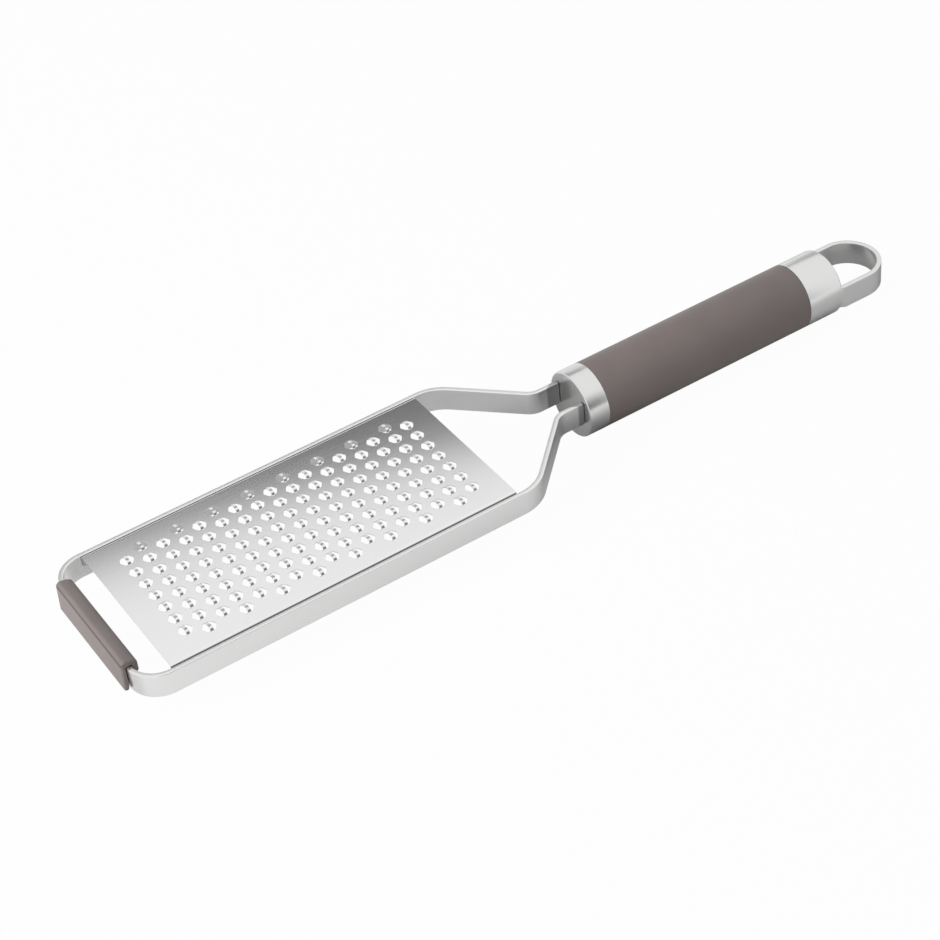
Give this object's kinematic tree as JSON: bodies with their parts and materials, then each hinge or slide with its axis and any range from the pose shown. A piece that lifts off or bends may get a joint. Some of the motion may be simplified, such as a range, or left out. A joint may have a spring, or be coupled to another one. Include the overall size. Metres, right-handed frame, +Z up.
{
  "type": "hand grater",
  "caption": "Flat hand grater: bent steel strip frame with a toothed perforated blade, a soft front bumper and a round grip ending in a hanging loop.",
  "frame": {"origin": "middle of the underside of the whole object, at table height, below the middle of its length", "axes": "+X runs from the soft front bar to the hanging loop, +Z points up out of the toothed side, +Y to the left"},
  "size_m": [0.3538, 0.075, 0.027],
  "materials": {
    "frame_steel": "satin",
    "blade_steel": "satin",
    "handle_steel": "satin",
    "grip_taupe": "matte",
    "bumper_soft": "matte",
    "core_plastic": "matte",
    "pin_steel": "satin"
  },
  "bodies": {
    "root": {"frame_strip": "frame_steel", "grater_blade": "blade_steel", "front_bumper": "bumper_soft", "front_ferrule": "handle_steel", "handle_grip": "grip_taupe", "handle_core": "core_plastic", "tang_pin": "pin_steel", "end_cap": "handle_steel"}
  },
  "joints": []
}
